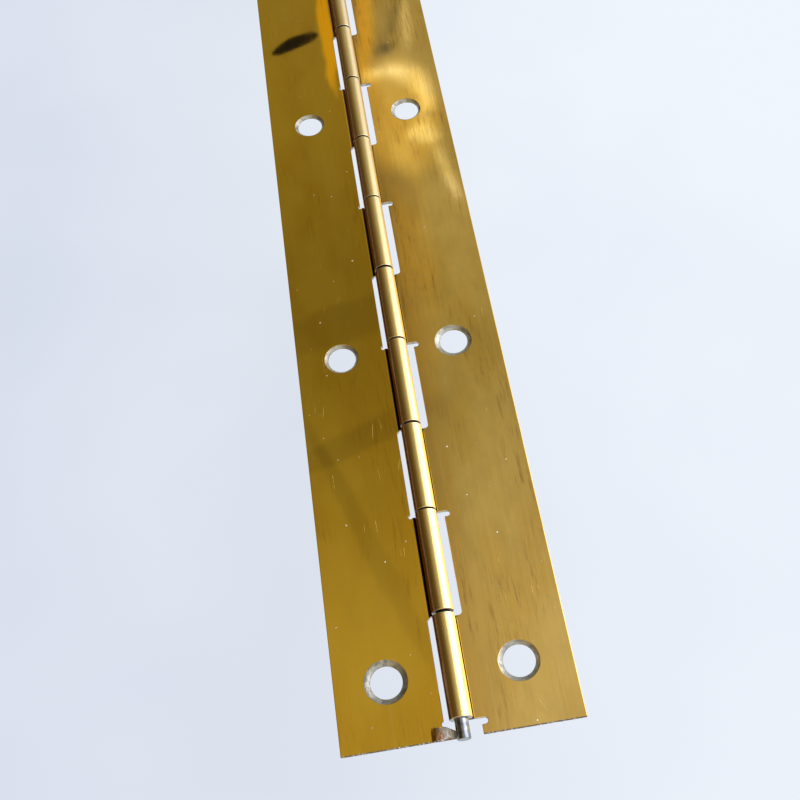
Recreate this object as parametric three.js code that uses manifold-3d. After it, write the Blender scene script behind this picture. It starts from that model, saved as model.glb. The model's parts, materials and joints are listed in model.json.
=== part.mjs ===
// Piano hinge (continuous hinge): two leaves rolled from sheet around one long pin.
// Frame, in millimetres: X across the open hinge, Y along the pin, Z up on the barrel side.
// The origin lies under the pin's axis, at half the length, in the plane of the leaves' backs.
// The hinge is drawn open flat. It is a length cut from a longer strip, so the knuckle pattern
// isn't centred: the near end (-Y) is cut just short of the first right-leaf knuckle.

import * as THREE from "three";
import { mergeVertices } from "three/addons/utils/BufferGeometryUtils.js";
import Module from "manifold-3d";

// ---------------------------------------------------------------- driving dimensions
const INCH = 25.4;
const LENGTH = 12 * INCH; // leaf length
const LEAF_WIDTH = 0.625 * INCH; // from the pin's axis to the outer edge
const SHEET = 0.6; // sheet thickness

const PIN_DIAMETER = 1.8;
const PIN_CLEARANCE = 0.03; // on the radius, between pin and knuckle
const PIN_OVERHANG = 0.5; // pin proud of the leaves at each end

const HOLE_PITCH = 2 * INCH;
const HOLES_PER_LEAF = 6;
const FIRST_HOLE = 8.5; // from the near end
const HOLE_OFFSET = 8.85; // from the pin's axis
const HOLE_DIAMETER = 4.3;
const SINK_DIAMETER = 5.4; // countersink, at the barrel-side face
const SINK_DEPTH = 0.45;

const KNUCKLE_PERIOD = HOLE_PITCH / 1.75; // one right and one left knuckle with their gaps
const FIRST_KNUCKLE = 2.05; // near end to the first right-leaf knuckle
const RIGHT_KNUCKLE = 13.7; // knuckle lengths
const LEFT_KNUCKLE = 14.68;
const NEAR_GAP = 0.27; // between a left knuckle and the right one beyond it
const CURL_GAP = 0.15; // between the curl's tip and the face it returns to

const RIGHT_NOTCH = 2.55; // notch depth, from the pin's axis
const RIGHT_NOTCH_FILLET = 0.5;
const RIGHT_RELIEF_RADIUS = 0.42; // round relief at the notch's far corner
const LEFT_NOTCH = 2.2;
const LEFT_NOTCH_CHAMFER = 0.5;
const LEFT_RELIEF_RADIUS = 0.33; // round relief at the notch's near corner
const LEFT_RELIEF_INSET = 0.15; // relief centre beyond the knuckle's end

const STUB_CURL = 50; // degrees of curl left on the knuckle that the near end cut off

// ---------------------------------------------------------------- derived dimensions
const BORE_RADIUS = PIN_DIAMETER / 2 + PIN_CLEARANCE;
const BARREL_RADIUS = BORE_RADIUS + SHEET;
const AXIS_HEIGHT = BARREL_RADIUS; // the barrel is tangent to the plane of the backs
const NEAR_END = -LENGTH / 2;
const FAR_END = LENGTH / 2;
const FIRST_RIGHT = NEAR_END + FIRST_KNUCKLE;
const FIRST_LEFT = FIRST_RIGHT + KNUCKLE_PERIOD - NEAR_GAP - LEFT_KNUCKLE;
const FIRST_NOTCH_MIDDLE = (FIRST_RIGHT - NEAR_GAP + FIRST_LEFT) / 2; // on the left leaf

// The curl's tip stops where its outer edge is CURL_GAP above the leaf's barrel-side face.
const TIP_ANGLE = Math.asin((SHEET + CURL_GAP - AXIS_HEIGHT) / BARREL_RADIUS);
const FULL_CURL = THREE.MathUtils.radToDeg(1.5 * Math.PI - TIP_ANGLE);

const CURL_SEGMENTS_PER_TURN = 24;
const HOLE_SEGMENTS = 28;
const CORNER_SEGMENTS = 3;
const RELIEF_SEGMENTS = 8;
const CUT_MARGIN = 1; // how far a cutter runs past the metal

// ---------------------------------------------------------------- solids
const wasm = await Module();
wasm.setup();

function toSolid(geometry) {
  const bare = geometry.index ? geometry.toNonIndexed() : geometry;
  bare.deleteAttribute("normal");
  bare.deleteAttribute("uv");
  const merged = mergeVertices(bare, 1e-4);
  return new wasm.Manifold(
    new wasm.Mesh({
      numProp: 3,
      vertProperties: new Float32Array(merged.attributes.position.array),
      triVerts: new Uint32Array(merged.index.array),
    })
  );
}

function toGeometry(solid) {
  const mesh = solid.getMesh();
  const geometry = new THREE.BufferGeometry();
  geometry.setAttribute("position", new THREE.BufferAttribute(mesh.vertProperties, 3));
  geometry.setIndex(new THREE.BufferAttribute(mesh.triVerts, 1));
  geometry.computeVertexNormals();
  return geometry;
}

function arcPoints(x, y, radius, from, to, segments) {
  const points = [];
  for (let i = 0; i <= segments; i++) {
    const angle = THREE.MathUtils.degToRad(from + ((to - from) * i) / segments);
    points.push(new THREE.Vector2(x + radius * Math.cos(angle), y + radius * Math.sin(angle)));
  }
  return points;
}

// Extrudes an outline drawn in X and Z along Y, from near to far.
function alongPin(outline, near, far) {
  const geometry = new THREE.ExtrudeGeometry(new THREE.Shape(outline), {
    depth: far - near,
    bevelEnabled: false,
  });
  geometry.rotateX(Math.PI / 2);
  geometry.translate(0, far, 0);
  return toSolid(geometry);
}

// Extrudes an outline drawn in X and Y upward, through the whole height of the hinge.
function throughHinge(outline) {
  const geometry = new THREE.ExtrudeGeometry(new THREE.Shape(outline), {
    depth: 2 * (BARREL_RADIUS + CUT_MARGIN),
    bevelEnabled: false,
  });
  geometry.translate(0, 0, -CUT_MARGIN);
  return toSolid(geometry);
}

// ---------------------------------------------------------------- one leaf
// A leaf is drawn as the right-hand one, with its plate on +X, and mirrored for the left.

// Section of the sheet: the flat plate, then the curl around the pin by the given angle.
function sheetSection(curlDegrees) {
  const segments = Math.round((CURL_SEGMENTS_PER_TURN * curlDegrees) / 360);
  const start = 270;
  const end = start - curlDegrees;
  // The bore's flats, not its corners, keep the running clearance to the pin.
  const boreCorner = BORE_RADIUS / Math.cos(Math.PI / CURL_SEGMENTS_PER_TURN);
  const inner = arcPoints(0, AXIS_HEIGHT, boreCorner, end, start - curlDegrees / segments, segments - 1);
  return [
    new THREE.Vector2(LEAF_WIDTH, SHEET),
    new THREE.Vector2(LEAF_WIDTH, 0),
    ...arcPoints(0, AXIS_HEIGHT, BARREL_RADIUS, start, end, segments),
    ...inner,
    new THREE.Vector2(0, SHEET),
  ];
}

// Notch with a filleted near corner and a round relief that hooks out of its far corner.
function rightNotch(near, far) {
  const inside = -BARREL_RADIUS - CUT_MARGIN;
  const fillet = RIGHT_NOTCH_FILLET;
  const relief = RIGHT_RELIEF_RADIUS;
  return [
    new THREE.Vector2(inside, near),
    ...arcPoints(RIGHT_NOTCH - fillet, near + fillet, fillet, -90, 0, CORNER_SEGMENTS),
    new THREE.Vector2(RIGHT_NOTCH, far - 2 * relief),
    ...arcPoints(RIGHT_NOTCH + relief, far - relief, relief, -90, 90, RELIEF_SEGMENTS),
    new THREE.Vector2(inside, far),
  ];
}

// Notch with a round relief in its near corner and a chamfered far corner.
function leftNotch(near, far) {
  const inside = -BARREL_RADIUS - CUT_MARGIN;
  const relief = LEFT_RELIEF_RADIUS;
  const centre = near + LEFT_RELIEF_INSET;
  const meets = THREE.MathUtils.radToDeg(Math.asin(LEFT_RELIEF_INSET / relief));
  return [
    new THREE.Vector2(inside, near),
    ...arcPoints(LEFT_NOTCH, centre, relief, -180 + meets, 90, RELIEF_SEGMENTS),
    new THREE.Vector2(LEFT_NOTCH, far - LEFT_NOTCH_CHAMFER),
    new THREE.Vector2(LEFT_NOTCH - LEFT_NOTCH_CHAMFER, far),
    new THREE.Vector2(inside, far),
  ];
}

// Cutter of one countersunk screw hole, standing on the plane of the backs.
function screwHole(y) {
  const hole = HOLE_DIAMETER / 2;
  const sink = SINK_DIAMETER / 2;
  const slope = (sink - hole) / SINK_DEPTH;
  const profile = [
    new THREE.Vector2(0, -CUT_MARGIN),
    new THREE.Vector2(hole, -CUT_MARGIN),
    new THREE.Vector2(hole, SHEET - SINK_DEPTH),
    new THREE.Vector2(sink + slope * CUT_MARGIN, SHEET + CUT_MARGIN),
    new THREE.Vector2(0, SHEET + CUT_MARGIN),
  ];
  const geometry = new THREE.LatheGeometry(profile, HOLE_SEGMENTS);
  geometry.rotateX(Math.PI / 2);
  geometry.translate(HOLE_OFFSET, y, 0);
  return toSolid(geometry);
}

// Cuts a row of notches, each from the end of one knuckle to the start of the next.
function cutNotches(leaf, notch, firstKnuckle, knuckleLength) {
  let cut = leaf;
  for (let end = firstKnuckle + knuckleLength; end < FAR_END; end += KNUCKLE_PERIOD) {
    cut = cut.subtract(throughHinge(notch(end, end + KNUCKLE_PERIOD - knuckleLength)));
  }
  return cut;
}

function drillLeaf(leaf) {
  let drilled = leaf;
  for (let i = 0; i < HOLES_PER_LEAF; i++) {
    drilled = drilled.subtract(screwHole(NEAR_END + FIRST_HOLE + i * HOLE_PITCH));
  }
  return drilled;
}

function rightLeaf() {
  const blank = alongPin(sheetSection(FULL_CURL), NEAR_END, FAR_END);
  return drillLeaf(cutNotches(blank, rightNotch, FIRST_RIGHT - KNUCKLE_PERIOD, RIGHT_KNUCKLE));
}

// The left leaf's nearest knuckle is a stub: its top was torn off when the strip was cut.
function leftLeaf() {
  const blank = alongPin(sheetSection(FULL_CURL), FIRST_NOTCH_MIDDLE, FAR_END);
  const stub = alongPin(sheetSection(STUB_CURL), NEAR_END, FIRST_NOTCH_MIDDLE);
  const whole = cutNotches(blank.add(stub), leftNotch, FIRST_LEFT - KNUCKLE_PERIOD, LEFT_KNUCKLE);
  return drillLeaf(whole).mirror([1, 0, 0]);
}

// ---------------------------------------------------------------- materials
const brassPlate = new THREE.MeshStandardMaterial({ color: 0xa8842a, roughness: 0.22, metalness: 1 });
const brassPlateDark = new THREE.MeshStandardMaterial({ color: 0x8c6a10, roughness: 0.18, metalness: 1 });
const bareSteel = new THREE.MeshStandardMaterial({ color: 0xb4b4b0, roughness: 0.35, metalness: 1 });

// ---------------------------------------------------------------- assembly
function addPiece(parent, name, geometry, material) {
  const mesh = new THREE.Mesh(geometry, material);
  mesh.name = name;
  parent.add(mesh);
  return mesh;
}

const hinge = new THREE.Group();
addPiece(hinge, "left_leaf", toGeometry(leftLeaf()), brassPlateDark);
addPiece(hinge, "right_leaf", toGeometry(rightLeaf()), brassPlate);

const pinGeometry = new THREE.CylinderGeometry(
  PIN_DIAMETER / 2,
  PIN_DIAMETER / 2,
  LENGTH + 2 * PIN_OVERHANG,
  CURL_SEGMENTS_PER_TURN
);
const pin = addPiece(hinge, "hinge_pin", pinGeometry, bareSteel);
pin.position.z = AXIS_HEIGHT;

export default hinge;
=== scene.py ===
"""Piano hinge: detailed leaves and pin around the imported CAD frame. Shapes are in millimetres."""

import json
import math
import random

import bmesh
import bpy
from mathutils import Matrix, Vector, noise


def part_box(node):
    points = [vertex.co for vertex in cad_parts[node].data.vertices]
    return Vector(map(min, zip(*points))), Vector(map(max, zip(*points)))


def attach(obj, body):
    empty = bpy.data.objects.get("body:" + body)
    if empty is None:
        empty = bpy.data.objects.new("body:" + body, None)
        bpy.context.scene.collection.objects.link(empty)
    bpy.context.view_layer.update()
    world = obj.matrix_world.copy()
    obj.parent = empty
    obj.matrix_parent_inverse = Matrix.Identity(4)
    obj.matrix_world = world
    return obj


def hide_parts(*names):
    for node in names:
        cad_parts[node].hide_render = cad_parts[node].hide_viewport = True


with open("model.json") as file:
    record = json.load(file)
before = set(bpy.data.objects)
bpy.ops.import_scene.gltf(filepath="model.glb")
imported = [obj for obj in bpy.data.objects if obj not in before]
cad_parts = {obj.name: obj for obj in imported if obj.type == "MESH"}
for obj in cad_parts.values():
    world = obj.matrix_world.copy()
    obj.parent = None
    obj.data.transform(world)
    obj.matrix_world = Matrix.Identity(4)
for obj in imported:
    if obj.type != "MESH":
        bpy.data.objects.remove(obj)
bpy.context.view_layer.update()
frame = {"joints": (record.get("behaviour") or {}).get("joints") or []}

# ---------------------------------------------------------------- sizes, from the frame
MM = 0.001
LEAF_LOW, LEAF_HIGH = (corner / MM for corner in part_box("right_leaf"))
PIN_LOW, PIN_HIGH = (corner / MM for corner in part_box("hinge_pin"))
NEAR_END = LEAF_LOW.y
FAR_END = LEAF_HIGH.y
LEAF_WIDTH = LEAF_HIGH.x
BARREL_RADIUS = -LEAF_LOW.x
PIN_RADIUS = PIN_HIGH.x
AXIS_HEIGHT = frame["joints"][0]["pos_m"][2] / MM

# ---------------------------------------------------------------- sizes that the CAD part is driven by
SHEET = 0.6
HOLE_PITCH = 50.8
FIRST_HOLE = NEAR_END + 8.5
HOLE_OFFSET = 8.85
HOLE_RADIUS = 2.15
SINK_RADIUS = 2.7
SINK_DEPTH = 0.45
PERIODS_PER_HOLE = 1.75
KNUCKLE_PERIOD = HOLE_PITCH / PERIODS_PER_HOLE
FIRST_RIGHT = NEAR_END + 2.05
RIGHT_KNUCKLE = 13.7
LEFT_KNUCKLE = 14.68
NEAR_GAP = 0.27
STUB_END = FIRST_RIGHT - NEAR_GAP
FIRST_LEFT = STUB_END + KNUCKLE_PERIOD - LEFT_KNUCKLE
CURL_GAP = 0.15
RIGHT_NOTCH = 2.55
RIGHT_NOTCH_FILLET = 0.5
RIGHT_RELIEF_RADIUS = 0.42
LEFT_NOTCH = 2.2
LEFT_NOTCH_CHAMFER = 0.5
LEFT_RELIEF_RADIUS = 0.33
LEFT_RELIEF_INSET = 0.15

BORE_RADIUS = BARREL_RADIUS - SHEET
TIP_ANGLE = math.degrees(math.asin((SHEET + CURL_GAP - AXIS_HEIGHT) / BARREL_RADIUS))

# ---------------------------------------------------------------- fineness and finish of the meshes
CURL_STEP = 4.0  # degrees
CORNER_STEP = 15.0  # degrees
HOLE_STEPS = 72
PIN_STEPS = 64
EDGE_ROUNDING = 0.09
ROUNDING_SEGMENTS = 2
SHARP_EDGE = 30.0  # degrees between two faces, from which their edge is rounded
LARGE_FACE_WEIGHT = 100  # how much the large faces' own normals count in the shading
SLIVER = 0.02
CUT_MARGIN = 1.0
FACING = 0.3  # the least of a face's normal that counts as facing that way
PIN_END_FACING = 0.9
LEFT_CREVICE = 2.1  # how far out from the pin the curl's tip has pressed the plate
RIGHT_CREVICE = 1.82
CREVICE_DEPTH = 0.22
CREVICE_START = 1.2  # out from the pin, where the crevice is deepest
CREVICE_STEPS = 6
LEFT_SINKS_WIDER = [0.22, -0.08, -0.1, 0.05, 0.1, 0.0]  # from the near end
RIGHT_SINKS_WIDER = [0.02, 0.14, -0.08, 0.06, 0.0, 0.1]
SINK_SHIFT_ACROSS = (-0.09, -0.02)
SINK_SHIFT_ALONG = (-0.05, 0.05)
SINK_CHATTER = 0.06  # how far a sink's outline strays from round
CHATTER_LOBES = 3
CHATTER_SEED_STEP = 7
END_WOBBLE = 0.05  # how unevenly the knuckles were punched
LEFT_SEED = 23
RIGHT_SEED = 11
PIN_CHAMFER = 0.08
PIN_CHAMFER_TURN = 0.3  # the share of the chamfer where it turns steeper
GAP_SHADE_INSET = 0.1  # how far inside the first and last knuckles the wire's painted dark shade starts

# ---------------------------------------------------------------- the left leaf's torn stub
STUB_CURL_END = 245.0  # degrees, out of sight under the pin
# X, and Y from the near end, of what is torn away.
STUB_TEAR = [(-2.25, 1.72), (-0.9, 1.0), (3.0, 0.4), (3.0, 2.3), (-2.25, 2.3)]
STUB_CREASE = -4.1  # X, where the bend starts
STUB_RIDGE = -3.65  # X, where it is highest
STUB_RIDGE_HEIGHT = 0.2
STUB_SLOPE = 0.17
STUB_BEND_DEPTH = 1.9
STUB_BEND_ROWS = 8
STUB_STEP = 0.1
STUB_TOP_START = 0.2
STUB_TOP_SPARE = 0.5  # of flat sheet past the crease, as finely divided
# The crease's brown is painted shade.
STUB_CREASE_SHADE_SPREAD = 0.7  # how far the crease's brown spreads from the ridge
STUB_BARE = -1.6  # X, from where most of the stub's plating is gone
STUB_DENTS = 0.05
STUB_DENTS_SCALE = 2.2

# ---------------------------------------------------------------- the metals' linear colours
# Both leaves are one brass: the left's deeper tones are painted shade, the right's paler ones painted
# light.
LEFT_SHADED_TONES = (0.79, 0.455, 0.02), (0.72, 0.39, 0.01)
RIGHT_LIT_TONES = (0.82, 0.52, 0.08), (0.74, 0.44, 0.04)
# Painted reflection: the barrel's lit side mirrored as an orange glow on the leaf beside it.
BARREL_REFLECTION_TINT = (0.76, 0.40, 0.008)
STAIN_TINT = (0.42, 0.18, 0.008)
BRUSHED_DARK_TINT = (0.48, 0.27, 0.02)
BRUSHED_PALE_TINT = (0.95, 0.70, 0.22)
SMEAR_TINT = (0.52, 0.32, 0.03)
BARREL_TINT = (0.78, 0.53, 0.08)
# Painted shade, dark brown, on the barrel's left flank; below it, a painted highlight, pale cream, on
# its right flank.
BARREL_LEFT_SHADE_TINT = (0.34, 0.125, 0.015)
BARREL_RIGHT_HIGHLIGHT_TINT = (0.84, 0.70, 0.30)
SCRATCH_TINT = (0.95, 0.80, 0.42)
DUST_TINT = (0.93, 0.80, 0.45)
SPECK_TINT = (1.0, 0.93, 0.72)
# Painted shade in the crevice under the curl's tip: near black, browner towards the far end.
CREVICE_SHADE_TINT = (0.03, 0.015, 0.006)
FAR_CREVICE_SHADE_TINT = (0.30, 0.17, 0.10)
FLAKED_TINTS = (0.26, 0.13, 0.05), (0.44, 0.40, 0.30)
# Painted shade beside the stub's crease.
STUB_CREASE_SHADE_TINT = (0.10, 0.045, 0.015)
CUT_TINT = (0.55, 0.52, 0.45)
SINK_TINT = (0.44, 0.42, 0.31)
WIRE_TINT = (0.32, 0.33, 0.31)
# Painted shade: the pin's middle, seen only through the gaps between knuckles, near black.
PIN_GAP_SHADE_TINT = (0.05, 0.04, 0.03)
SMUDGE_SHADE = 0.6  # of a bare steel's tint
GROOVE_SHADE = 0.45
SHEARED_TINTS = (0.16, 0.11, 0.05), (0.85, 0.80, 0.66)

# ---------------------------------------------------------------- where the finish changes
BARREL_BLEND = (SHEET + 0.15, SHEET + 0.7)  # Z, from the leaf's finish to the barrel's
# X spans of the barrel's painted shade on its left flank and painted highlight on its right.
SHADED_FLANK = (-BARREL_RADIUS + 0.4, -0.6)  # X
HIGHLIGHT_FLANK = (0.2, 1.2)  # X
# Out from the pin, where the barrel's painted reflection lies on the leaf.
BARREL_REFLECTION_SPAN = (2.5, 6.5)  # out from the pin
STAINED_BESIDE_PIN = (3.4, 5.2)  # out from the pin
STAINED_EDGE = (11.0, 14.5)  # out from the pin
# Where the crevice's painted shade lies.
CREVICE_SHADE_RISES = (0.2, 0.3)  # Z, above the leaf's back
CREVICE_SHADE_STARTS = (1.0, 1.1)  # out from the pin
CREVICE_SHADE_FADES = 0.25  # inside the crevice's outer edge
CREVICE_SHADE_BROWNS = (-80.0, -45.0)  # Y
HAZE_FADES = (NEAR_END, NEAR_END + 60.0)  # Y

# ---------------------------------------------------------------- the studio's sky
# Directions are unit vectors. Each step: from X, to X, and the change in brightness between them.
SKY_START = 0.18
SKY_STEPS = [
    (-1.0, -0.86, -0.08),
    (-0.75, -0.08, 0.12),
    (0.0, 0.07, 0.15),
    (0.2, 0.6, 0.3),
]
WINDOW_ACROSS = [(0.18, 0.46, 1.45), (0.40, 0.60, 1.9), (0.9, 1.0, -2.6)]
WINDOW_ALONG = [(-0.35, 0.05, 1.0), (0.3, 0.72, -0.9)]  # the window's share, along Y
OVERHEAD_ACROSS = (0.1, 0.5)  # how far to either side the overhead light reaches
OVERHEAD_START = 0.31
OVERHEAD_STEPS = [(0.2, 0.6, -0.28), (0.6, 0.75, 0.07)]  # along Y
FRONT_STEP = (-0.7, -0.1, 0.65, 0.0)  # from Y, to Y, and the brightness added at each
PLAIN_LIGHT = None  # the sky's own colour
WARM_LIGHT = (1.0, 0.8, 0.12)
TAN_LIGHT = (1.0, 0.92, 0.7)
PALE_LIGHT = (1.0, 1.12, 2.4)
# Each patch: its centre as X and Y slope, turn, half length, half width, change in brightness, colour.
LEFT_PATCHES = [  # a dark patch, a warm strip beside the barrel and three faint bands
    ((-0.069, 1.199), 17, 0.036, 0.013, -2.2, PLAIN_LIGHT),
    ((-0.021, 1.22), 90, 0.14, 0.010, 0.42, WARM_LIGHT),
    ((-0.056, 0.40), -70, 0.2, 0.012, -0.06, PLAIN_LIGHT),
    ((-0.07, 0.535), 18, 0.14, 0.018, -0.05, PLAIN_LIGHT),
    ((-0.05, 0.70), 12, 0.14, 0.03, -0.04, PLAIN_LIGHT),
]
RIGHT_PATCHES = [  # warm and tan strips beside the barrel, then pale streaks and their shadows
    ((0.035, 1.20), 83, 0.12, 0.014, 0.42, WARM_LIGHT),
    ((0.045, 0.81), 87, 0.24, 0.026, 0.10, TAN_LIGHT),
    ((0.08, 0.80), 90, 0.13, 0.07, 0.07, PLAIN_LIGHT),
    ((0.096, 1.20), 83, 0.06, 0.009, 0.35, PALE_LIGHT),
    ((0.081, 1.22), 76, 0.05, 0.007, -0.18, PLAIN_LIGHT),
    ((0.059, 1.154), 0, 0.014, 0.010, -0.3, PLAIN_LIGHT),
    ((0.06, 1.03), 90, 0.115, 0.058, 0.34, TAN_LIGHT),
    ((0.098, 1.012), 0, 0.012, 0.007, -0.4, PLAIN_LIGHT),
    ((0.088, 0.978), -40, 0.024, 0.016, 0.6, PALE_LIGHT),
    ((0.112, 0.905), -77, 0.055, 0.007, 0.6, PALE_LIGHT),
    ((0.05, 0.89), -80, 0.06, 0.012, -0.12, PLAIN_LIGHT),
]
PATCH_EDGE = (0.7, 1.15)  # distance over which a patch fades, 1 at its outline
# A pale crescent, where the first oval isn't covered by the second.
CRESCENT_OUTSIDE = ((0.058, 1.055), 90, 0.076, 0.056)
CRESCENT_INSIDE = ((0.049, 1.043), 90, 0.066, 0.047)
CRESCENT_CHANGE = 0.75
SKY_RIPPLE = 0.014  # how unevenly the leaves mirror the sky
LEAST_RISE = 0.1  # keeps the slopes finite near the horizon
LEAST_LIGHT = 0.01  # in the darkest patch
LEFT_SKY = (1.0, 0.72, 0.4)
PLAIN_SKY = (1.0, 1.0, 1.0)
RIGHT_SKY = (1.0, 1.02, 1.3)
LEFT_SKY_ENDS = (-0.5, -0.05)  # X
RIGHT_SKY_STARTS = (0.05, 0.45)  # X
BACKDROP = (0.8, 0.85, 0.92, 1.0)

# ---------------------------------------------------------------- floor and camera
FLOOR_HALF = 3000
FLOOR_DEPTH = 22
# The floor's glow: darker on the left as painted shade, lighter on the right as painted light.
FLOOR_GLOW_TONES = (0.63, 0.68, 0.78), (0.82, 0.87, 0.93)  # on the left, on the right
FLOOR_BLEND = (-110.0, 90.0)  # X
CAMERA_SPOT = (-0.594, -178.921, 132.995)
CAMERA_AIM = (-0.939, -101.864, 0.0)
CAMERA_ROLL = -9.817  # degrees
CAMERA_LENS = 45.444
CAMERA_CLIP = 0.01  # metres


# ---------------------------------------------------------------- mesh helpers
def new_object(name, data):
    piece = bpy.data.objects.new(name, data)
    bpy.context.scene.collection.objects.link(piece)
    return piece


def mesh_object(name, points, faces, material):
    """One closed mesh from points in millimetres, with its faces turned outward."""
    mesh = bpy.data.meshes.new(name)
    mesh.from_pydata([Vector(p) * MM for p in points], [], faces)
    work = bmesh.new()
    work.from_mesh(mesh)
    bmesh.ops.recalc_face_normals(work, faces=work.faces)
    work.to_mesh(mesh)
    work.free()
    mesh.materials.append(material)
    return new_object(name, mesh)


def arc(x, y, radius, start, end, step=CORNER_STEP):
    count = max(2, round(abs(end - start) / step))
    angles = [math.radians(start + (end - start) * i / count) for i in range(count + 1)]
    return [(x + radius * math.cos(a), y + radius * math.sin(a)) for a in angles]


def prism(name, outline, levels, place, material):
    """An outline swept through the given levels. place(a, b, level) gives each X, Y and Z."""
    count = len(outline)
    points = [place(a, b, level) for level in levels for a, b in outline]
    faces = []
    for start in range(0, count * (len(levels) - 1), count):
        for i in range(count):
            j = (i + 1) % count
            faces.append((start + i, start + j, start + count + j, start + count + i))
    last = len(points) - count
    faces += [tuple(range(count)), tuple(range(last, len(points)))]
    return mesh_object(name, points, faces, material)


def turned(name, rings, steps, place, material):
    """A closed solid of rings (radius, height) around its own axis; place gives X, Y and Z."""
    points = []
    for radius, height in rings:
        for i in range(steps):
            turn = 2 * math.pi * i / steps
            points.append(place(radius, turn, height))
    faces = []
    for ring in range(len(rings) - 1):
        for i in range(steps):
            a = ring * steps + i
            b = ring * steps + (i + 1) % steps
            faces.append((a, b, b + steps, a + steps))
    last = (len(rings) - 1) * steps
    faces += [tuple(range(steps)), tuple(range(last, last + steps))]
    return mesh_object(name, points, faces, material)


def apply_modifiers(piece):
    """Gives the piece the mesh that its modifiers make, and drops them."""
    evaluated = piece.evaluated_get(bpy.context.evaluated_depsgraph_get())
    mesh = bpy.data.meshes.new_from_object(evaluated)
    piece.modifiers.clear()
    old, piece.data = piece.data, mesh
    bpy.data.meshes.remove(old)


def merge_objects(pieces):
    """Puts several objects' meshes into the first, and removes the others."""
    work = bmesh.new()
    for piece in pieces:
        work.from_mesh(piece.data)
    work.to_mesh(pieces[0].data)
    work.free()
    for piece in pieces[1:]:
        bpy.data.objects.remove(piece)
    return pieces[0]


def combine(piece, tools, operation):
    tool = merge_objects(tools)
    step = piece.modifiers.new(operation.lower(), "BOOLEAN")
    step.operation = operation
    step.solver = "EXACT"
    step.material_mode = "TRANSFER"
    step.object = tool
    apply_modifiers(piece)
    bpy.data.objects.remove(tool)


def merge_close_points(piece):
    """Takes away the slivers that cutting leaves, so that the rounding can't overshoot on them."""
    work = bmesh.new()
    work.from_mesh(piece.data)
    bmesh.ops.remove_doubles(work, verts=work.verts, dist=SLIVER * MM)
    bmesh.ops.dissolve_degenerate(work, edges=work.edges, dist=SLIVER * MM)
    work.to_mesh(piece.data)
    work.free()


def round_edges(piece):
    """Rounds the sheared edges and shades the curls smooth."""
    merge_close_points(piece)
    for face in piece.data.polygons:
        face.use_smooth = True
    rounding = piece.modifiers.new("rounding", "BEVEL")
    rounding.width = EDGE_ROUNDING * MM
    rounding.segments = ROUNDING_SEGMENTS
    rounding.limit_method = "ANGLE"
    rounding.angle_limit = math.radians(SHARP_EDGE)
    rounding.use_clamp_overlap = False
    normals = piece.modifiers.new("normals", "WEIGHTED_NORMAL")
    normals.keep_sharp = True
    normals.weight = LARGE_FACE_WEIGHT
    apply_modifiers(piece)


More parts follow.
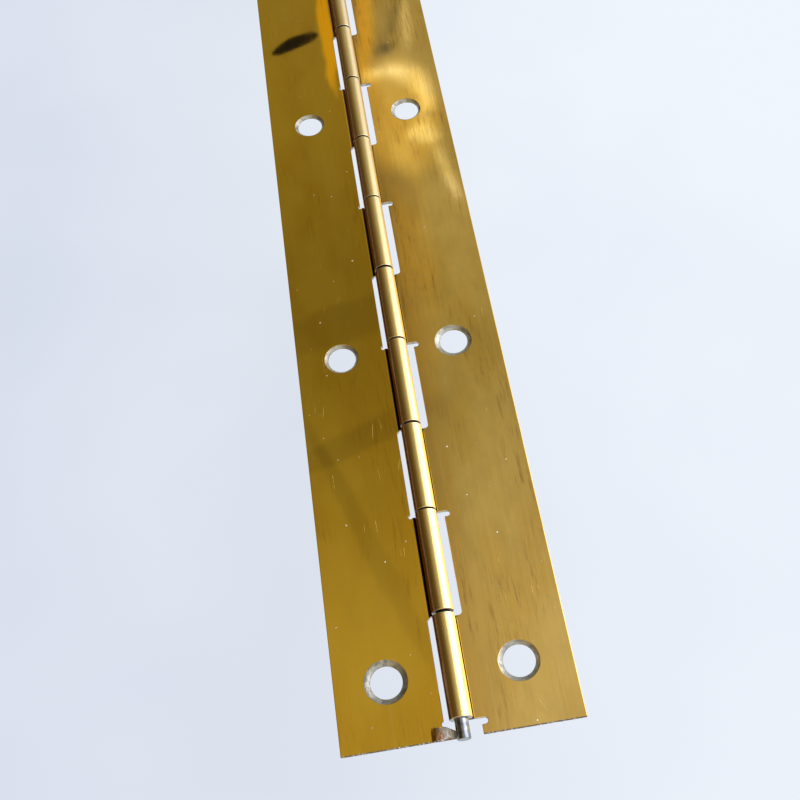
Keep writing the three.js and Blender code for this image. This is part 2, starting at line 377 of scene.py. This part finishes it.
# ---------------------------------------------------------------- shader helpers
class Shader:
    """Builds a material's or world's node tree. Inputs take plain values or other sockets."""

    def __init__(self, owner):
        self.owner = owner
        owner.use_nodes = True
        self.tree = owner.node_tree
        self.tree.nodes.clear()

    def add(self, kind, inputs=None, **settings):
        node = self.tree.nodes.new("ShaderNode" + kind)
        for key, value in settings.items():
            setattr(node, key, value)
        for key, value in (inputs or {}).items():
            if isinstance(value, bpy.types.NodeSocket):
                self.tree.links.new(value, node.inputs[key])
            else:
                node.inputs[key].default_value = value
        return node

    def math(self, operation, a, b=0.0, c=0.0):
        return self.add("Math", {0: a, 1: b, 2: c}, operation=operation).outputs[0]

    def steps(self, value, start, changes):
        """A level that starts at start and changes softly by each (low, high, change)."""
        level = start
        for low, high, change in changes:
            level = self.math("ADD", level, self.band(value, low, high, 0.0, change))
        return level

    def oval(self, place, centre, turn, half_length, half_width):
        """How much a soft-edged oval, turned by some degrees, covers a place: 0 to 1."""
        inputs = {
            "Vector": place,
            "Location": (*centre, 0.0),
            "Rotation": (0.0, 0.0, math.radians(turn)),
            "Scale": (half_length, half_width, 1.0),
        }
        local = self.add("Mapping", inputs, vector_type="TEXTURE").outputs[0]
        distance = self.add("VectorMath", {0: local}, operation="LENGTH").outputs["Value"]
        return self.band(distance, *PATCH_EDGE, 1.0, 0.0)

    def position(self, stretch=(1.0, 1.0, 1.0)):
        """The place on the piece in millimetres, stretched for grain that runs one way."""
        place = self.add("TexCoord").outputs["Object"]
        scale = [s / MM for s in stretch]
        return self.add("Mapping", {"Vector": place, "Scale": scale}).outputs[0]

    def noise(self, scale, detail=3.0, stretch=(1.0, 1.0, 1.0), roughness=0.5):
        inputs = {
            "Vector": self.position(stretch),
            "Scale": scale,
            "Detail": detail,
            "Roughness": roughness,
        }
        return self.add("TexNoise", inputs).outputs["Fac"]

    def band(self, value, low, high, out_low=0.0, out_high=1.0):
        """Turns value smoothly from out_low, at low and below, to out_high, at high and above."""
        inputs = {
            "Value": value,
            "From Min": low,
            "From Max": high,
            "To Min": out_low,
            "To Max": out_high,
        }
        return self.add("MapRange", inputs, interpolation_type="SMOOTHSTEP").outputs[0]

    def mix(self, factor, a, b):
        node = self.add("Mix", {"Factor": factor}, data_type="RGBA")
        for key, value in (("A", a), ("B", b)):
            socket = next(s for s in node.inputs if s.name == key and s.type == "RGBA")
            if isinstance(value, bpy.types.NodeSocket):
                self.tree.links.new(value, socket)
            else:
                socket.default_value = (*value, 1.0)
        return next(s for s in node.outputs if s.type == "RGBA")

    def specks(self, density, small, large):
        """Sparse round specks, about small to large cells across."""
        cells = {"Vector": self.position(), "Scale": density, "Randomness": 1.0}
        spots = self.add("TexVoronoi", cells).outputs
        chance = self.add("SeparateColor", {0: spots["Color"]}).outputs
        size = self.band(chance[0], 0.4, 1.0, 0.0, large)
        inner = self.math("SUBTRACT", size, small)
        ragged = self.math("MULTIPLY_ADD", self.noise(5.0, 1.0), small, spots["Distance"])
        covered = self.band(self.math("SUBTRACT", ragged, inner), small * 0.5, small * 1.5, 1.0, 0.0)
        return self.math("MULTIPLY", covered, self.band(chance[1], 0.0, 1.0, 0.25, 1.0))

    def scratches(self, density, width):
        """Thin broken lines that run mostly along the strip."""
        cells = {"Vector": self.position((3.0, 0.25, 3.0)), "Scale": density, "Randomness": 1.0}
        edges = self.add("TexVoronoi", cells, feature="DISTANCE_TO_EDGE").outputs["Distance"]
        lines = self.band(edges, 0.0, width, 1.0, 0.0)
        return self.math("MULTIPLY", lines, self.band(self.noise(0.25, 1.0), 0.62, 0.7))

    def bump(self, height, depth, below=None):
        """A bump depth millimetres high at most, on top of the one below."""
        inputs = {"Height": height, "Distance": depth * MM, "Strength": 1.0}
        if below is not None:
            inputs["Normal"] = below
        return self.add("Bump", inputs).outputs[0]

    def finish(self, inputs):
        surface = self.add("BsdfPrincipled", inputs).outputs[0]
        self.add("OutputMaterial", {"Surface": surface})
        return self.owner


def new_material(name):
    return Shader(bpy.data.materials.new(name))


class Brass(Shader):
    """Brass plating: polished and slightly brushed on the leaf, satin on the curled knuckles."""

    def __init__(self, name, side, crevice):
        super().__init__(bpy.data.materials.new(name))
        self.place = self.add("SeparateXYZ", {0: self.position()}).outputs
        self.from_pin = self.math("MULTIPLY", self.place["X"], side)
        self.on_barrel = self.band(self.place["Z"], *BARREL_BLEND)
        self.on_leaf = self.math("SUBTRACT", 1.0, self.on_barrel)
        # Mask of the painted shade in the crevice.
        self.crevice_shade_mask = self.painted_crevice_shade(crevice)
        self.brushed = self.noise(1.0, 5.0, (2.6, 0.025, 2.6), 0.68)
        self.smeared = self.noise(0.35, 5.0, (1.0, 0.5, 1.0), 0.6)
        self.scratched = self.math("MULTIPLY", self.scratches(0.11, 0.0022), self.on_leaf)
        self.specked = self.math("MULTIPLY", self.specks(0.62, 0.04, 0.11), self.on_leaf)

    def painted_crevice_shade(self, crevice):
        """Painted shade below the curl's tip, as far out as the crevice goes."""
        below_tip = self.math("MULTIPLY", self.band(self.place["Z"], *CREVICE_SHADE_RISES), self.on_leaf)
        ends = (*CREVICE_SHADE_STARTS, 1.0), (crevice - CREVICE_SHADE_FADES, crevice, -1.0)
        return self.math("MULTIPLY", below_tip, self.steps(self.from_pin, 0.0, ends))

    def stains(self):
        """Dark dashes beside the pin, along the outer edge and in a few patches."""
        edge = self.band(self.from_pin, *STAINED_EDGE)
        near_edge = self.math("MULTIPLY", edge, self.band(self.noise(0.035, 1.0), 0.5, 0.6))
        beside = self.band(self.from_pin, *STAINED_BESIDE_PIN, 1.0, 0.0)
        near_pin = self.math("MULTIPLY", beside, self.band(self.noise(0.05, 1.0), 0.42, 0.55))
        patches = self.band(self.noise(0.09, 2.0, (1.3, 0.6, 1.3)), 0.48, 0.64)
        stained = self.math("MAXIMUM", self.math("MAXIMUM", near_pin, near_edge), patches)
        dashes = self.band(self.noise(1.2, 4.0, (1.6, 0.16, 1.6), 0.65), 0.5, 0.7)
        return self.math("MULTIPLY", dashes, self.math("MULTIPLY", stained, self.on_leaf))

    def leaf_wear_and_painted_reflection(self, brushing, staining):
        """Amounts and tints of what has changed the leaf's plating, from the bottom up, after a
        painted reflection of the barrel's lit side beside it.
        """
        near_barrel = self.band(self.from_pin, *BARREL_REFLECTION_SPAN, 1.0, 0.0)
        barrel_reflection = self.math("MULTIPLY", near_barrel, self.on_leaf)
        return [
            # Painted reflection of the barrel's lit side.
            (self.math("MULTIPLY", barrel_reflection, 0.6), BARREL_REFLECTION_TINT),
            (self.math("MULTIPLY", self.stains(), staining), STAIN_TINT),
            (self.band(self.brushed, 0.55, 0.8, 0.0, brushing), BRUSHED_DARK_TINT),
            (self.band(self.smeared, 0.4, 0.7, 0.0, brushing * 0.6), SMEAR_TINT),
            (self.band(self.brushed, 0.45, 0.2, 0.0, brushing), BRUSHED_PALE_TINT),
        ]

    def barrel_tint_and_painted_light(self):
        """The same for the barrel: its own tint, painted shade on its left flank and a painted
        highlight on its right.
        """
        # Painted shade on the left flank, painted highlight on the right flank.
        left_flank = self.band(self.place["X"], *SHADED_FLANK, 0.85, 0.0)
        right_flank = self.band(self.place["X"], *HIGHLIGHT_FLANK, 0.0, 0.65)
        return [
            (self.math("MULTIPLY", self.on_barrel, 0.85), BARREL_TINT),
            (self.math("MULTIPLY", self.on_barrel, left_flank), BARREL_LEFT_SHADE_TINT),
            (self.math("MULTIPLY", self.on_barrel, right_flank), BARREL_RIGHT_HIGHLIGHT_TINT),
        ]

    def small_marks(self):
        """The same for scratches, dust and specks."""
        return [
            (self.math("MULTIPLY", self.scratched, 0.3), SCRATCH_TINT),
            (self.math("MULTIPLY", self.specks(1.1, 0.05, 0.1), 0.5), DUST_TINT),
            (self.math("MULTIPLY", self.specked, 0.8), SPECK_TINT),
        ]

    def colour(self, tones, brushing, staining):
        clouds = self.noise(0.11, 3.0, (1.0, 0.5, 1.0))
        colour = self.mix(self.band(clouds, 0.38, 0.64), *tones)
        layers = self.leaf_wear_and_painted_reflection(brushing, staining) + self.barrel_tint_and_painted_light() + self.small_marks()
        for amount, tint in layers:
            colour = self.mix(amount, colour, tint)
        # The crevice's painted shade, browner towards the far end.
        far_browning = self.band(self.place["Y"], *CREVICE_SHADE_BROWNS)
        return self.mix(self.crevice_shade_mask, colour, self.mix(far_browning, CREVICE_SHADE_TINT, FAR_CREVICE_SHADE_TINT))

    def roughness(self, gloss):
        rough = self.band(self.brushed, 0.3, 0.7, gloss * 0.75, gloss * 1.3)
        # Rougher where the specks and the crevice's painted shade are.
        marks = self.math("MAXIMUM", self.specked, self.crevice_shade_mask)
        for part in (
            self.band(self.smeared, 0.42, 0.7, 0.0, gloss * 0.35),
            self.math("MULTIPLY", self.on_barrel, 0.22),
            self.math("MULTIPLY", marks, 0.4),
        ):
            rough = self.math("ADD", rough, part)
        return rough

    def relief(self, brushing):
        """Bumps too fine to model: waves in the sheet, brushing, pits, and the barrel's satin."""
        wavy = self.bump(self.noise(0.06, 1.0), 0.03)
        drawn = self.bump(self.brushed, 0.003 * brushing, wavy)
        pits = self.math("ADD", self.specked, self.math("MULTIPLY", self.scratched, 0.4))
        pitted = self.bump(pits, 0.012, drawn)
        satin = self.math("MULTIPLY", self.noise(5.0, 3.0), self.on_barrel)
        return self.bump(satin, 0.022, pitted)

    def coat(self, film):
        """Lacquer on the barrel, less on its left flank, and a haze that thins from the near end."""
        haze = self.math("MULTIPLY", self.band(self.place["Y"], *HAZE_FADES, 1.0, 0.45), film)
        kept = self.band(self.place["X"], -BARREL_RADIUS, 0.1, 0.15, 1.0)
        lacquer = self.math("MULTIPLY", self.on_barrel, kept)
        # No coat where the crevice's painted shade is.
        unshaded = self.math("SUBTRACT", 1.0, self.crevice_shade_mask)
        return self.math("MULTIPLY", self.math("MAXIMUM", lacquer, haze), unshaded)


def brass(name, side, crevice, tones, gloss, film, brushing, staining):
    s = Brass(name, side, crevice)
    return s.finish({
        "Base Color": s.colour(tones, brushing, staining),
        "Metallic": 1.0,
        "Roughness": s.roughness(gloss),
        "Normal": s.relief(brushing),
        "Coat Weight": s.coat(film),
        "Coat Roughness": 0.25,
        "Coat IOR": 2.0,
    })


def steel(name, tint, gloss, grain, grain_depth):
    """Bare steel with machining or drawing marks, and darker smudges. grain is the marks' stretch."""
    s = new_material(name)
    marks = s.noise(1.0, 4.0, grain, 0.65)
    blotch = s.noise(1.3, 4.0)
    smudged = [SMUDGE_SHADE * c for c in tint]
    grooved = [GROOVE_SHADE * c for c in tint]
    colour = s.mix(s.band(blotch, 0.42, 0.68), tint, smudged)
    colour = s.mix(s.band(marks, 0.5, 0.68, 0.0, 0.45), colour, grooved)
    return s.finish({
        "Base Color": colour,
        "Metallic": 1.0,
        "Roughness": s.band(marks, 0.3, 0.7, gloss * 0.75, gloss * 1.3),
        "Normal": s.bump(marks, grain_depth),
    })


def flaked_steel(name):
    """The torn stub's top: flaked brown and greyer toward the pin, with painted shade, dark brown,
    spreading from the crease's ridge.
    """
    s = new_material(name)
    place = s.add("SeparateXYZ", {0: s.position()}).outputs
    crumbled = s.noise(1.2, 4.0, (1.0, 1.0, 1.0), 0.55)
    bare = s.math("ADD", crumbled, s.band(place["X"], STUB_RIDGE, STUB_BARE, -0.16, 0.1))
    colour = s.mix(s.band(bare, 0.46, 0.62), *FLAKED_TINTS)
    # Painted shade beside the crease.
    crease_shade = s.band(place["X"], STUB_RIDGE, STUB_RIDGE + STUB_CREASE_SHADE_SPREAD, 0.9, 0.0)
    colour = s.mix(crease_shade, colour, STUB_CREASE_SHADE_TINT)
    return s.finish({
        "Base Color": colour,
        "Metallic": 1.0,
        "Roughness": s.band(crumbled, 0.3, 0.7, 0.22, 0.42),
        "Normal": s.bump(crumbled, 0.08),
    })


def sheared_steel(name):
    """The strip's cut ends: dark burnished metal with bright torn specks."""
    s = new_material(name)
    torn = s.noise(1.0, 5.0, (4.5, 4.5, 1.5), 0.7)
    bright = s.band(torn, 0.54, 0.62)
    colour = s.mix(bright, *SHEARED_TINTS)
    return s.finish({
        "Base Color": colour,
        "Metallic": 1.0,
        "Roughness": s.band(torn, 0.4, 0.65, 0.55, 0.3),
        "Normal": s.bump(torn, 0.05),
    })


# ---------------------------------------------------------------- leaves
def along_pin(a, b, y):
    return (a, y, b)


def upright(a, b, z):
    return (a, b, z)


def mirrored(points):
    return [(-x, y) for x, y in points]


def sheet_section(crevice):
    """Section of a right-hand leaf: the curl from under the pin round to its tip, then the
    shallow crevice that the tip has pressed into the plate, then the plate."""
    outer = arc(0, AXIS_HEIGHT, BARREL_RADIUS, 270, TIP_ANGLE, CURL_STEP)
    inner = arc(0, AXIS_HEIGHT, BORE_RADIUS, TIP_ANGLE, 270, CURL_STEP)
    trough = []
    for i in range(CREVICE_STEPS + 1):
        along = i / CREVICE_STEPS
        depth = CREVICE_DEPTH * (1 + math.cos(math.pi * along)) / 2
        trough.append((CREVICE_START + (crevice - CREVICE_START) * along, SHEET - depth))
    return [(LEAF_WIDTH, 0)] + outer + inner + trough + [(LEAF_WIDTH, SHEET)]


def right_notch(near, far):
    inside = -BARREL_RADIUS - CUT_MARGIN
    fillet = RIGHT_NOTCH_FILLET
    relief = RIGHT_RELIEF_RADIUS
    return [
        (inside, near),
        *arc(RIGHT_NOTCH - fillet, near + fillet, fillet, -90, 0),
        (RIGHT_NOTCH, far - 2 * relief),
        *arc(RIGHT_NOTCH + relief, far - relief, relief, -90, 90),
        (inside, far),
    ]


def left_notch(near, far):
    inside = -BARREL_RADIUS - CUT_MARGIN
    relief = LEFT_RELIEF_RADIUS
    centre = near + LEFT_RELIEF_INSET
    meets = math.degrees(math.asin(LEFT_RELIEF_INSET / relief))
    return mirrored([
        (inside, near),
        *arc(LEFT_NOTCH, centre, relief, -180 + meets, 90),
        (LEFT_NOTCH, far - LEFT_NOTCH_CHAMFER),
        (LEFT_NOTCH - LEFT_NOTCH_CHAMFER, far),
        (inside, far),
    ])


def notch_cutters(notch, first_knuckle, knuckle_length, material, chance):
    """One cutter from the end of each knuckle to the start of the next, punched a bit unevenly."""
    cutters = []
    end = first_knuckle + knuckle_length
    while end < FAR_END:
        near = end + chance.uniform(-END_WOBBLE, END_WOBBLE)
        far = end + KNUCKLE_PERIOD - knuckle_length + chance.uniform(-END_WOBBLE, END_WOBBLE)
        top = 2 * BARREL_RADIUS + CUT_MARGIN
        cutters.append(prism("notch", notch(near, far), (-CUT_MARGIN, top), upright, material))
        end += KNUCKLE_PERIOD
    return cutters


def hole_cutter(i, side, wider, shift, material):
    """One countersunk hole, whose sink strays a little in width, centre and outline."""
    x = side * HOLE_OFFSET
    y = FIRST_HOLE + i * HOLE_PITCH
    sink_bottom = SHEET - SINK_DEPTH
    sink_radius = SINK_RADIUS + wider
    slope = (sink_radius - HOLE_RADIUS) / SINK_DEPTH
    rings = [
        (HOLE_RADIUS, -CUT_MARGIN),
        (HOLE_RADIUS, sink_bottom),
        (sink_radius, SHEET),
        (sink_radius + slope * CUT_MARGIN, SHEET + CUT_MARGIN),
    ]

    def place(radius, turn, height):
        in_sink = max(0.0, min(1.0, (height - sink_bottom) / SINK_DEPTH))
        spot = Vector((math.cos(turn), math.sin(turn)))
        along = CHATTER_LOBES * spot.x + CHATTER_SEED_STEP * i
        chatter = SINK_CHATTER * noise.noise((along, CHATTER_LOBES * spot.y, side))
        flat = spot * (radius + in_sink * chatter) + in_sink * shift
        return (x + flat.x, y + flat.y, height)

    return turned("hole", rings, HOLE_STEPS, place, material)


def hole_cutters(side, widening, material, chance):
    cutters = []
    for i, wider in enumerate(widening):
        shift = Vector((chance.uniform(*SINK_SHIFT_ACROSS), chance.uniform(*SINK_SHIFT_ALONG)))
        cutters.append(hole_cutter(i, side, wider, shift, material))
    return cutters


def paint_cut_ends(piece, material):
    """The strip's two sheared ends are bare metal, round to the leaves' faces."""
    piece.data.materials.append(material)
    index = len(piece.data.materials) - 1
    for face in piece.data.polygons:
        y = face.center.y / MM
        at_end = min(abs(y - NEAR_END), abs(y - FAR_END)) < EDGE_ROUNDING
        if at_end and abs(face.normal.y) > FACING:
            face.material_index = index


def right_leaf(plating, cut_metal, sink_metal, sheared_metal):
    section = sheet_section(RIGHT_CREVICE)
    leaf = prism("right_leaf_sheet", section, (NEAR_END, FAR_END), along_pin, plating)
    chance = random.Random(RIGHT_SEED)
    start = FIRST_RIGHT - KNUCKLE_PERIOD
    combine(leaf, notch_cutters(right_notch, start, RIGHT_KNUCKLE, cut_metal, chance), "DIFFERENCE")
    combine(leaf, hole_cutters(1, RIGHT_SINKS_WIDER, sink_metal, chance), "DIFFERENCE")
    round_edges(leaf)
    paint_cut_ends(leaf, sheared_metal)
    return leaf


def paint_stub(piece, material):
    """The stub's plating has flaked off where it was torn and bent."""
    piece.data.materials.append(material)
    index = len(piece.data.materials) - 1
    for face in piece.data.polygons:
        x, y, _ = face.center / MM
        on_stub = STUB_RIDGE < x < -PIN_RADIUS / 2 and y < STUB_END
        if on_stub and face.normal.z > FACING:
            face.material_index = index


def stub_bend(x, y):
    """How far the stub's sheet is bent up: a ridge beside the crease, then a fall to the pin."""
    rise = max(0.0, min(1.0, (x - STUB_CREASE) / (STUB_RIDGE - STUB_CREASE)))
    fall = STUB_SLOPE * max(0.0, x - STUB_RIDGE)
    crumple = noise.noise((STUB_DENTS_SCALE * x, STUB_DENTS_SCALE * y, 0.0))
    dents = STUB_DENTS * crumple * rise
    fade = max(0.0, 1.0 - (y - NEAR_END) / STUB_BEND_DEPTH)
    height = STUB_RIDGE_HEIGHT * (1 - math.cos(math.pi * rise)) / 2 - fall + dents
    return height * math.sin(math.pi / 2 * fade)


def torn_end(far, plating):
    """The left leaf's near end, up to far, with its bent stub."""
    outer = arc(0, AXIS_HEIGHT, BARREL_RADIUS, 270, STUB_CURL_END, CURL_STEP)
    inner = arc(0, AXIS_HEIGHT, BORE_RADIUS, STUB_CURL_END, 270, CURL_STEP)
    section = [(LEAF_WIDTH, 0)] + outer + inner
    bend_width = -STUB_CREASE + STUB_TOP_SPARE - STUB_TOP_START
    steps = round(bend_width / STUB_STEP)
    section += [(STUB_TOP_START + i * bend_width / steps, SHEET) for i in range(steps + 1)]
    section.append((LEAF_WIDTH, SHEET))
    rows = [NEAR_END + STUB_BEND_DEPTH * i / STUB_BEND_ROWS for i in range(STUB_BEND_ROWS + 1)]

    def place(a, b, y):
        return (a, y, max(0.0, b + stub_bend(a, y)))

    return prism("torn_end", mirrored(section), [*rows, far], place, plating)


def left_leaf(plating, cut_metal, sink_metal, sheared_metal, flaked_metal):
    section = mirrored(sheet_section(LEFT_CREVICE))
    middle = (STUB_END + FIRST_LEFT) / 2
    leaf = prism("left_leaf_sheet", section, (middle, FAR_END), along_pin, plating)
    combine(leaf, [torn_end(middle, plating)], "UNION")
    chance = random.Random(LEFT_SEED)
    start = FIRST_LEFT - KNUCKLE_PERIOD
    cutters = notch_cutters(left_notch, start, LEFT_KNUCKLE, cut_metal, chance)
    combine(leaf, cutters, "DIFFERENCE")
    tear = [(x, NEAR_END + y) for x, y in STUB_TEAR]
    torn = prism("tear", tear, (-CUT_MARGIN, 2 * BARREL_RADIUS), upright, cut_metal)
    combine(leaf, [torn], "DIFFERENCE")
    combine(leaf, hole_cutters(-1, LEFT_SINKS_WIDER, sink_metal, chance), "DIFFERENCE")
    paint_stub(leaf, flaked_metal)
    round_edges(leaf)
    paint_cut_ends(leaf, sheared_metal)
    return leaf


# ---------------------------------------------------------------- pin
def hinge_pin(material, gap_shade_material):
    """The wire, bright where it shows at the two ends and painted near black inside the knuckles, as
    shade where it shows through the gaps.
    """
    shade_start = FIRST_RIGHT + GAP_SHADE_INSET
    shade_end = FAR_END - GAP_SHADE_INSET
    turn_inset = PIN_CHAMFER * PIN_CHAMFER_TURN

    def place(radius, turn, height):
        return (radius * math.cos(turn), height, AXIS_HEIGHT + radius * math.sin(turn))

    rings = [
        (PIN_RADIUS - PIN_CHAMFER, PIN_LOW.y),
        (PIN_RADIUS - turn_inset, PIN_LOW.y + turn_inset),
        (PIN_RADIUS, PIN_LOW.y + PIN_CHAMFER),
        (PIN_RADIUS, shade_start),
        (PIN_RADIUS, shade_end),
        (PIN_RADIUS, PIN_HIGH.y - PIN_CHAMFER),
        (PIN_RADIUS - turn_inset, PIN_HIGH.y - turn_inset),
        (PIN_RADIUS - PIN_CHAMFER, PIN_HIGH.y),
    ]
    pin = turned("hinge_pin_wire", rings, PIN_STEPS, place, material)
    # Painted shade: the wire inside the knuckles is near black.
    pin.data.materials.append(gap_shade_material)
    for face in pin.data.polygons:
        face.use_smooth = abs(face.normal.y) < PIN_END_FACING
        face.material_index = int(shade_start < face.center.y / MM < shade_end)
    return pin


# ---------------------------------------------------------------- floor, light and camera
def floor():
    """A pale floor that glows faintly, like bright paper, with soft cloudy tones; its glow is painted
    darker on the left and lighter on the right, as painted shade and light.
    """
    s = new_material("pale_floor")
    place = s.add("SeparateXYZ", {0: s.position()}).outputs
    # Painted shade on the left, painted light on the right.
    painted_light_rightward = s.band(place["X"], *FLOOR_BLEND)
    clouds = s.band(s.noise(0.012, 3.0), 0.3, 0.7, -0.15, 0.15)
    tone = s.math("ADD", painted_light_rightward, clouds)
    material = s.finish({
        "Base Color": (0.05, 0.05, 0.05, 1.0),
        "Roughness": 0.9,
        "Specular IOR Level": 0.0,
        "Emission Color": s.mix(tone, *FLOOR_GLOW_TONES),
        "Emission Strength": 1.0,
    })
    signs = [(-1, -1), (1, -1), (1, 1), (-1, 1)]
    corners = [(a * FLOOR_HALF, b * FLOOR_HALF, -FLOOR_DEPTH) for a, b in signs]
    ground = mesh_object("studio_floor", corners, [(0, 1, 2, 3)], material)


def sky_level(s, way):
    """The sky's brightness, without its patches."""
    level = s.steps(way["X"], SKY_START, SKY_STEPS)
    across = s.steps(way["X"], 0.0, WINDOW_ACROSS)
    window = s.math("MULTIPLY", across, s.steps(way["Y"], 0.0, WINDOW_ALONG))
    near_zenith = s.band(s.math("ABSOLUTE", way["X"]), *OVERHEAD_ACROSS, 1.0, 0.0)
    overhead = s.math("MULTIPLY", near_zenith, s.steps(way["Y"], OVERHEAD_START, OVERHEAD_STEPS))
    for part in (window, overhead, s.band(way["Y"], *FRONT_STEP)):
        level = s.math("ADD", level, part)
    return level


def sky_slope(s, way):
    """Each direction's X and Y slope, bent a little as uneven sheet would bend its mirror image."""
    up = s.math("MAXIMUM", way["Z"], LEAST_RISE)
    slopes = {"X": s.math("DIVIDE", way["X"], up), "Y": s.math("DIVIDE", way["Y"], up)}
    slope = s.add("CombineXYZ", slopes).outputs[0]
    ripple = s.add("TexNoise", {"Vector": slope, "Scale": 14.0, "Detail": 2.0}).outputs["Color"]
    bending = {0: ripple, 1: (SKY_RIPPLE, SKY_RIPPLE, 0.0), 2: slope}
    bent = s.add("VectorMath", bending, operation="MULTIPLY_ADD").outputs[0]
    centring = {0: bent, 1: (SKY_RIPPLE / 2, SKY_RIPPLE / 2, 0.0)}
    return s.add("VectorMath", centring, operation="SUBTRACT").outputs[0]


def add_patches(s, slope, level, colour):
    """Adds the faint patches that the polished leaves mirror to the sky's level and colour."""
    for spot, turn, half_length, half_width, change, light in LEFT_PATCHES + RIGHT_PATCHES:
        patch = s.oval(slope, spot, turn, half_length, half_width)
        level = s.math("MULTIPLY_ADD", patch, change, level)
        if light is not PLAIN_LIGHT:
            colour = s.mix(patch, colour, light)
    crescent = s.math("SUBTRACT", s.oval(slope, *CRESCENT_OUTSIDE), s.oval(slope, *CRESCENT_INSIDE))
    crescent = s.math("MAXIMUM", crescent, 0.0)
    level = s.math("MULTIPLY_ADD", crescent, CRESCENT_CHANGE, level)
    return level, s.mix(crescent, colour, PALE_LIGHT)


def studio_light():
    """A soft sky as beside a window: dim and warm on the left, bright and cool on the right."""
    world = bpy.data.worlds.new("studio")
    bpy.context.scene.world = world
    s = Shader(world)
    way = s.add("SeparateXYZ", {0: s.add("TexCoord").outputs["Generated"]}).outputs
    colour = s.mix(s.band(way["X"], *LEFT_SKY_ENDS), LEFT_SKY, PLAIN_SKY)
    colour = s.mix(s.band(way["X"], *RIGHT_SKY_STARTS), colour, RIGHT_SKY)
    level, colour = add_patches(s, sky_slope(s, way), sky_level(s, way), colour)
    level = s.math("MAXIMUM", level, LEAST_LIGHT)
    sky = s.add("Background", {"Color": colour, "Strength": level}).outputs[0]
    backdrop = s.add("Background", {"Color": BACKDROP}).outputs[0]
    seen = s.add("LightPath").outputs["Is Camera Ray"]
    surface = s.add("MixShader", {0: seen, 1: sky, 2: backdrop}).outputs[0]
    s.add("OutputWorld", {"Surface": surface})


def camera():
    """At the photograph's viewing angle, from just past the hinge's near end."""
    spot = Vector(CAMERA_SPOT) * MM
    aim = Vector(CAMERA_AIM) * MM
    data = bpy.data.cameras.new("camera")
    data.lens = CAMERA_LENS
    data.clip_start = CAMERA_CLIP
    view = new_object("camera", data)
    turn = (aim - spot).to_track_quat("-Z", "Y").to_matrix().to_4x4()
    roll = Matrix.Rotation(math.radians(CAMERA_ROLL), 4, "Z")
    view.matrix_world = Matrix.Translation(spot) @ turn @ roll
    bpy.context.scene.camera = view


# ---------------------------------------------------------------- scene
bpy.context.scene.view_settings.view_transform = "Standard"
camera()
floor()
studio_light()

left_brass = brass(
    "brass_left", -1, LEFT_CREVICE, LEFT_SHADED_TONES, gloss=0.022, film=0.15, brushing=0.14, staining=0.4)
right_brass = brass(
    "brass_right", 1, RIGHT_CREVICE, RIGHT_LIT_TONES, gloss=0.035, film=0.6, brushing=0.45, staining=0.7)
cut_steel = steel("cut_steel", CUT_TINT, gloss=0.34, grain=(4.0, 4.0, 0.8), grain_depth=0.006)
sink_steel = steel("drilled_steel", SINK_TINT, gloss=0.45, grain=(2.5, 2.5, 11.0), grain_depth=0.03)
sheared = sheared_steel("sheared_steel")
flaked = flaked_steel("flaked_steel")
wire_steel = steel("wire_steel", WIRE_TINT, gloss=0.18, grain=(9.0, 0.1, 9.0), grain_depth=0.003)
# Painted shade for the pin inside the knuckles.
pin_gap_shade_steel = steel("pin_gap_shade_steel", PIN_GAP_SHADE_TINT, gloss=0.4, grain=(9.0, 0.1, 9.0), grain_depth=0.003)

left = left_leaf(left_brass, cut_steel, sink_steel, sheared, flaked)
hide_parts("left_leaf")
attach(left, "left_leaf")

right = right_leaf(right_brass, cut_steel, sink_steel, sheared)
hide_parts("right_leaf")
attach(right, "right_leaf")

pin = hinge_pin(wire_steel, pin_gap_shade_steel)
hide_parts("hinge_pin")
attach(pin, "hinge_pin")
